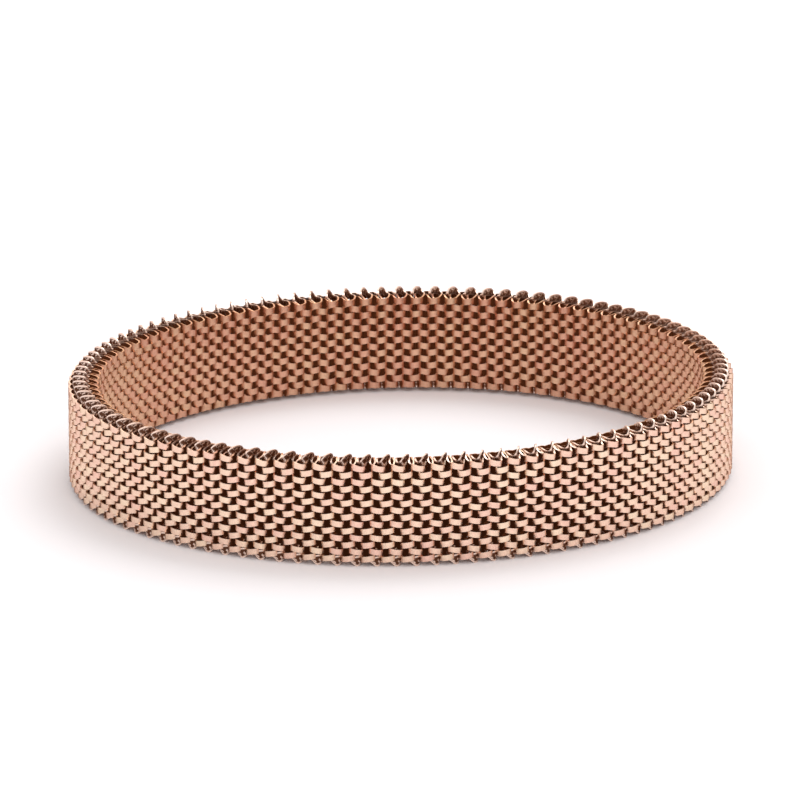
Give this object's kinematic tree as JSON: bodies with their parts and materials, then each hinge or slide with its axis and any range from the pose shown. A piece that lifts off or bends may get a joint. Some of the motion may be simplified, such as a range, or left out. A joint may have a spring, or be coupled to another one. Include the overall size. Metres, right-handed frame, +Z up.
{
  "type": "mesh bracelet",
  "caption": "Slip-on mesh bracelet: a seamless, slightly oval band of interlaced flat-ribbon coils with looped upper and lower edges.",
  "frame": {"origin": "centre of the band's outline, on the surface that its lower edge rests on", "axes": "+Z up, along the axes of the coils; -Y towards the viewer of the picture; +X to the right"},
  "size_m": [0.0652, 0.0652, 0.0104],
  "materials": {
    "rose_gold_mesh": "satin rose-gold plated steel ribbon, glossy at its cut edges"
  },
  "bodies": {
    "root": {"woven_band": "rose_gold_mesh"}
  },
  "joints": []
}
